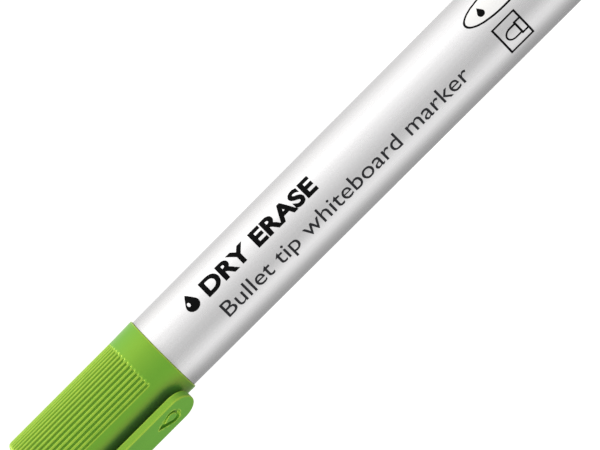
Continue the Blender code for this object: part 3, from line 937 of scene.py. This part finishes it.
def flat_shape(name, *outlines):
    """A flat mesh between closed outlines: the first is the edge, and the others are its holes."""
    curve = bpy.data.curves.new(name, "CURVE")
    curve.dimensions = "2D"
    curve.fill_mode = "BOTH"
    for outline in outlines:
        spline = curve.splines.new("POLY")
        spline.points.add(len(outline) - 1)
        for point, (x, y) in zip(spline.points, outline):
            point.co = (x, y, 0, 1)
        spline.use_cyclic_u = True
    shape = bpy.data.objects.new(name, curve)
    bpy.context.scene.collection.objects.link(shape)
    pick(shape)
    bpy.ops.object.convert(target="MESH")
    return bpy.context.object


def thick_shape(name, outline, thickness, chamfer=mm(0.08)):
    """A prism on an outline in the XY plane, centred on it, with its upper edge chamfered."""
    shape = flat_shape(name, outline)
    open_piece(shape)
    bpy.ops.mesh.select_all(action="SELECT")
    bpy.ops.mesh.remove_doubles(threshold=WELD / 4)
    bpy.ops.mesh.dissolve_limited(angle_limit=math.radians(1))
    bpy.ops.mesh.select_all(action="SELECT")
    bpy.ops.mesh.extrude_region_move(TRANSFORM_OT_translate={"value": (0, 0, thickness - chamfer)})
    bpy.ops.mesh.inset(thickness=chamfer, depth=chamfer)
    bpy.ops.mesh.inset(thickness=chamfer)
    bpy.ops.mesh.select_all(action="SELECT")
    bpy.ops.transform.translate(value=(0, 0, -thickness / 2))
    bpy.ops.mesh.normals_make_consistent(inside=False)
    close_piece()
    return shape


def stand_on_clip(shape, depth):
    """Stands a prism up against the clip's outer face, this deep into it."""
    shape.rotation_euler.x = math.radians(90)
    shape.location = (0, clip_low.y + depth, DROP_Z)
    return settle(shape)


def make_clip():
    """The arm, with a round free end, rounded edges and a sunk drop, and its root in the cap."""
    half = clip_high.x
    outer_y = CLIP_OUTER_Y
    inner_y = outer_y + CLIP_THICKNESS
    clip = box_piece("pocket_clip", (-half, outer_y, clip_low.z), (half, inner_y, CLIP_TOP_Z))
    open_piece(clip)
    select(
        clip,
        "EDGE",
        lambda edge: all(vert.co.z < clip_low.z + WELD for vert in edge.verts)
        and abs(edge.verts[0].co.y - edge.verts[1].co.y) > WELD,
    )
    bpy.ops.mesh.bevel(offset=CLIP_END_ROUND, segments=16, profile=0.5)
    cut_across(clip, (0, 0, HINGE_Z), (0, 0, 1))
    select(
        clip,
        "FACE",
        lambda face: face.normal.y > 0.9 and face.calc_center_median().z > HINGE_Z,
    )
    root_depth = -CAP_UPPER_BORE - mm(0.15) - inner_y
    bpy.ops.mesh.extrude_region_move(TRANSFORM_OT_translate={"value": (0, root_depth, 0)})
    select(
        clip,
        "EDGE",
        lambda edge: all(
            vert.co.z > CLIP_TOP_Z - WELD and vert.co.y < outer_y + WELD for vert in edge.verts
        ),
    )
    bpy.ops.mesh.bevel(offset=CLIP_TOP_ROUND, segments=10, profile=0.5)
    select(
        clip,
        "EDGE",
        lambda edge: all(
            abs(vert.co.z - HINGE_Z) < WELD and abs(vert.co.y - inner_y) < WELD
            for vert in edge.verts
        ),
    )
    bpy.ops.mesh.bevel(offset=mm(0.5), segments=5, profile=0.5)
    for height in (clip_low.z + mm(1.2), clip_low.z + mm(3.4)):
        cut_across(clip, (0, 0, height), (0, 0, 1))
    close_piece()
    apply_modifier(
        clip,
        "BEVEL",
        width=CLIP_EDGE_ROUND,
        segments=3,
        limit_method="ANGLE",
        angle_limit=math.radians(40),
    )
    # An even grid of rows and columns, fine enough for the arm to bend smoothly, and so that the
    # painted highlight stays on the edges.
    row, column, layer = mm(0.5), mm(0.48), mm(0.32)
    open_piece(clip)
    for step in range(1, 60):
        cut_across(clip, (0, 0, clip_low.z + step * row), (0, 0, 1))
    for step in range(-6, 7):
        cut_across(clip, (step * column, 0, 0), (1, 0, 0))
    for step in range(1, 9):
        cut_across(clip, (0, outer_y + mm(0.1) + step * layer, 0), (0, 1, 0))
    close_piece()
    lean_clip(clip)
    recess = thick_shape("recess", drop_outline(DROP_HALF), mm(0.8))
    combine(clip, stand_on_clip(recess, 0), "DIFFERENCE")
    boss = thick_shape("boss", drop_outline(BOSS_HALF), mm(0.8))
    combine(clip, stand_on_clip(boss, mm(0.46)), "UNION")
    shade(clip, math.radians(35))
    mark_bends(clip)
    dress(clip, green)
    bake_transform(clip)
    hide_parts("clip")


def lean_clip(clip):
    """Turns the arm about its root, until its free end reaches the clip's outermost line."""
    lean = (clip_low.y - CLIP_OUTER_Y) / (HINGE_Z - clip_low.z)
    open_piece(clip)
    select(clip, "VERT", lambda vert: vert.co.z < HINGE_Z - mm(0.3))
    bpy.ops.transform.rotate(
        value=math.atan(lean),
        orient_axis="X",
        center_override=(0, CLIP_OUTER_Y + CLIP_THICKNESS / 2, HINGE_Z),
    )
    close_piece()


barrel = make_barrel()
make_end_plug()
make_front_section()
make_nib()
make_cap_shell()
make_liner()
make_clip()
dress(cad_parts["reservoir_core"], ink_core)
dress(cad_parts["reservoir_film"], film)

# ---- Print on the barrel ----

VIEW_TURN = math.radians(-30)  # the side of the barrel that the print is laid out about
INK_PROUD = 0.015 * MM
INK_THICKNESS = 0.04 * MM
WRAP_STEP = 0.45 * MM
TEXT_START = mm(12.9)  # behind the cap's mouth
TITLE_WEIGHT, LINE_WEIGHT = 0.042, 0.001

# Each print's turn in degrees from their middle, above 0 on the clip's side.
TITLE_TURN, DROP_TURN, BADGE_TURN = -21.2, -22.5, -23.0
LINE_TURN, SIGN_TURN = 21.6, 26.9


def lettering(name, words, weight):
    """A flat mesh of words in the built-in letters, thickened by weight."""
    bpy.ops.object.text_add()
    text = bpy.context.object
    text.name = name
    text.data.body = words
    text.data.offset = weight
    text.data.space_character = 1 + weight
    text.data.resolution_u = 6
    bpy.ops.object.convert(target="MESH")
    return bpy.context.object


def fit_flat(piece, width, height):
    """Scales a flat mesh to a width and height, with its lower left corner at the origin."""
    points = [vert.co for vert in piece.data.vertices]
    low = Vector((min(point.x for point in points), min(point.y for point in points), 0))
    wide = max(point.x for point in points) - low.x
    tall = max(point.y for point in points) - low.y
    scale = Matrix.Diagonal((width / wide, height / tall, 1, 1))
    piece.data.transform(scale @ Matrix.Translation(-low))


def print_on_barrel(piece, along, turn, ink, name):
    """Lays a flat mesh on the barrel and lets it follow the tube's curve.

    Its X runs towards the rear, from this far behind the cap's mouth, and its Y goes round the
    barrel from this turn, measured from the print's middle towards the clip.
    """
    points = [vert.co for vert in piece.data.vertices]
    low_y, high_y = min(point.y for point in points), max(point.y for point in points)
    open_piece(piece)
    for step in range(1, int((high_y - low_y) / WRAP_STEP) + 1):
        cut_across(piece, (0, low_y + step * WRAP_STEP, 0), (0, 1, 0))
    close_piece()
    middle = (low_y + high_y) / 2
    place_turn = VIEW_TURN - math.radians(turn)
    outwards = Vector((math.cos(place_turn), math.sin(place_turn), 0))
    round_barrel = Vector((-outwards.y, outwards.x, 0))
    to_rear = Vector((0, 0, -1))
    start = outwards * (REAR_RADIUS + mm(0.5)) + Vector((0, 0, MOUTH_Z - along))
    place = Matrix((to_rear, round_barrel, outwards)).transposed().to_4x4()
    place.translation = start
    piece.data.transform(place @ Matrix.Translation((0, -middle, 0)))
    apply_modifier(
        piece,
        "SHRINKWRAP",
        target=barrel,
        wrap_method="NEAREST_SURFACEPOINT",
        wrap_mode="ABOVE_SURFACE",
        offset=INK_PROUD,
    )
    apply_modifier(piece, "SOLIDIFY", thickness=INK_THICKNESS, offset=-1)
    piece.name = name
    shade(piece, math.radians(40))
    dress(piece, ink)
    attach(piece, "barrel")
    return piece


def scaled(outline, x_size, y_size, x=0.0, y=0.0):
    return [(x + x_size * px, y + y_size * py) for px, py in outline]


def oval(bluntness=1.0, steps=80):
    """A unit oval's outline, with blunter ends than an ellipse where bluntness is under 1."""
    turns = [math.tau * (step + 0.5) / steps for step in range(steps)]
    ends = [math.copysign(abs(math.cos(turn)) ** bluntness, math.cos(turn)) for turn in turns]
    return [(end, math.sin(turn)) for end, turn in zip(ends, turns)]


def bullet_outline(length, half_width, steps=24):
    """A bullet tip's outline from its flat back at the origin to its round end at -length."""
    nose = 1.25 * half_width
    turns = [math.pi * (0.5 + step / steps) for step in range(steps + 1)]
    curve = [(nose - length + nose * math.cos(t), half_width * math.sin(t)) for t in turns]
    return [(0.0, half_width), *curve, (0.0, -half_width)]


def box_outline(low_x, low_y, high_x, high_y):
    return [(low_x, low_y), (high_x, low_y), (high_x, high_y), (low_x, high_y)]


def make_lettering():
    title = lettering("title", "DRY ERASE", TITLE_WEIGHT)
    fit_flat(title, mm(27.0), mm(3.85))
    print_on_barrel(title, TEXT_START, TITLE_TURN, black_ink, "print_title")
    line = lettering("line", "Bullet tip whiteboard marker", LINE_WEIGHT)
    fit_flat(line, mm(59.7), mm(4.35))
    print_on_barrel(line, TEXT_START, LINE_TURN, grey_ink, "print_line")


def make_drop_mark():
    """An ink drop with a glint cut out of it, before the title."""
    size = mm(1.38)
    glint = scaled(oval(), mm(0.30), mm(0.48), -mm(0.55), -mm(0.1))
    mark = flat_shape("mark", scaled(drop_outline(1.0), size, size, 0.0, -size / 2), glint)
    print_on_barrel(mark, mm(9.9), DROP_TURN, black_ink, "print_drop")


def make_oval_badge():
    """A white oval with an even dark rim, and three small drops in a row."""
    long_half, wide_half, pen = mm(8.0), mm(2.75), mm(0.42)
    inner = scaled(oval(0.88), long_half - pen, wide_half - pen)
    rim = flat_shape("rim", scaled(oval(0.88), long_half, wide_half), inner)
    along = mm(77.8) + long_half
    print_on_barrel(rim, along, BADGE_TURN, black_ink, "print_rim")
    drop_size = mm(0.72)
    drops = [
        scaled(drop_outline(1.0, 20), drop_size, drop_size, mm(x), -drop_size / 2)
        for x in (-4.2, 0.3, 4.8)
    ]
    field = flat_shape("field", scaled(inner, 0.995, 0.985), *drops)
    print_on_barrel(field, along, BADGE_TURN, white_ink, "print_field")
    for number, drop in enumerate(drops, 1):
        mark = flat_shape("small_drop", drop)
        print_on_barrel(mark, along, BADGE_TURN, black_ink, f"print_small_drop_{number}")


def make_tip_sign():
    """A square with the outline of a bullet tip in its holder, pointing to the cap."""
    along = mm(83.3)
    half_x, half_y, pen = mm(2.8), mm(3.5), mm(0.4)
    frame_line = flat_shape(
        "frame_line",
        box_outline(-half_x, -half_y, half_x, half_y),
        box_outline(-half_x + pen, -half_y + 1.45 * pen, half_x - pen, half_y - pen),
    )
    print_on_barrel(frame_line, along, SIGN_TURN, black_ink, "print_tip_frame")
    low, high, side = mm(1.0), half_x - pen / 2, mm(1.6)
    holder = flat_shape(
        "holder",
        box_outline(low, -side, high, side),
        box_outline(low + pen, -side + pen, high - pen / 2, side - pen),
    )
    print_on_barrel(holder, along, SIGN_TURN, black_ink, "print_tip_holder")
    length, half_width = mm(2.95), mm(1.32)
    outer = scaled(bullet_outline(length, half_width), 1.0, 1.0, x=low + pen / 2)
    inner = scaled(bullet_outline(length - 1.4 * pen, half_width - pen), 1.0, 1.0, x=low)
    tip = flat_shape("tip", outer, inner)
    print_on_barrel(tip, along, SIGN_TURN, black_ink, "print_tip_bullet")


make_lettering()
make_drop_mark()
make_oval_badge()
make_tip_sign()

# ---- Studio: floor, lights and camera ----

VIEW_WIDTH = mm(105.6)
CAMERA_DISTANCE = 1.2
CAMERA_AZIMUTH = math.radians(60)
CAMERA_ROLL = math.radians(-135)
AIM_BELOW_MOUTH = mm(33.0)
AIM_TOWARDS_CLIP = mm(1.0)

FLOOR_RADIUS = 4.0
FLOOR_GAP = mm(0.02)  # below the end plug's face, so that the two don't share a plane

# Each lamp's turn, rise and width in degrees, then its strength and colour.
KEY = (60, 46, 50, 2.9, (1.0, 0.97, 0.88))
FILL = (-100, 58, 30, 2.6, (0.98, 1.0, 0.98))

SURROUND = 0.34
# Each panel's turn in degrees, brightness and tightness.
PANELS = (
    (34, 0.80, 2.2),  # the broad light on the print's side
    (30, 0.2, 40.0),  # its bright middle
    (-104, 0.64, 16.0),  # beside the clip
    (138, 0.56, 18.0),  # behind, along the far edge
)


def make_floor():
    bpy.ops.mesh.primitive_circle_add(
        vertices=96,
        radius=FLOOR_RADIUS,
        fill_type="NGON",
        location=(0, 0, cad_low.z - FLOOR_GAP),
    )
    floor = settle(bpy.context.object)
    floor.name = "floor"
    floor.data.materials.append(paper_floor())


def make_camera():
    """A long lens at the height of the barrel, rolled so that the marker lies on the diagonal."""
    level = Matrix.Rotation(CAMERA_AZIMUTH, 4, "Z") @ Matrix.Rotation(math.radians(90), 4, "X")
    turned_by = level @ Matrix.Rotation(CAMERA_ROLL, 4, "Z")
    beside = level.to_3x3() @ Vector((-1, 0, 0))
    back = level.to_3x3() @ Vector((0, 0, 1))
    aim = Vector((0, 0, MOUTH_Z - AIM_BELOW_MOUTH)) + beside * AIM_TOWARDS_CLIP
    camera_data = bpy.data.cameras.new("camera")
    camera_data.lens = camera_data.sensor_width * CAMERA_DISTANCE / VIEW_WIDTH
    camera_data.clip_end = 20.0
    camera = bpy.data.objects.new("camera", camera_data)
    bpy.context.scene.collection.objects.link(camera)
    camera.matrix_world = Matrix.Translation(aim + back * CAMERA_DISTANCE) @ turned_by
    bpy.context.scene.camera = camera


def add_lamp(name, turn, rise, width, strength, colour):
    """A far soft lamp, at this turn round the marker and this rise above the floor."""
    lamp_data = bpy.data.lights.new(name, "SUN")
    lamp_data.energy = strength
    lamp_data.angle = math.radians(width)
    lamp_data.color = colour
    lamp = bpy.data.objects.new(name, lamp_data)
    angle, height = math.radians(turn), math.radians(rise)
    level = math.cos(height)
    towards = Vector((math.cos(angle) * level, math.sin(angle) * level, math.sin(height)))
    lamp.rotation_euler = towards.to_track_quat("Z", "Y").to_euler()
    bpy.context.scene.collection.objects.link(lamp)


def soft_panel(tree, direction, turn, brightness, tightness):
    """The light from a soft panel at this turn, which fades out all round its middle."""
    angle = math.radians(turn)
    towards = (math.cos(angle), math.sin(angle), 0.0)
    facing = add_node(tree, "VectorMath", {0: direction, 1: towards}, operation="DOT_PRODUCT")
    share = remap(tree, facing.outputs["Value"], -1.0, 1.0, 0.0, 1.0)
    return maths(tree, "MULTIPLY", maths(tree, "POWER", share, tightness), brightness)


def make_world():
    """A white surround for the camera, and for the marker a grey one with soft panels in it."""
    world = bpy.data.worlds.new("studio")
    bpy.context.scene.world = world
    world.use_nodes = True
    tree = world.node_tree
    direction = add_node(tree, "TexCoord").outputs["Generated"]
    light = SURROUND
    for turn, brightness, tightness in PANELS:
        light = maths(tree, "ADD", soft_panel(tree, direction, turn, brightness, tightness), light)
    seen = add_node(tree, "LightPath").outputs["Is Camera Ray"]
    white_seen = add_node(tree, "Background", {"Color": (1, 1, 1, 1), "Strength": 1.1})
    surround = add_node(tree, "Background", {"Color": (1, 0.99, 0.99, 1), "Strength": light})
    mixed = add_node(
        tree,
        "MixShader",
        {0: seen, 1: surround.outputs[0], 2: white_seen.outputs[0]},
    )
    tree.links.new(mixed.outputs[0], tree.nodes["World Output"].inputs[0])


make_floor()
make_camera()
add_lamp("key", *KEY)
add_lamp("fill", *FILL)
make_world()
bpy.context.scene.view_settings.view_transform = "Standard"
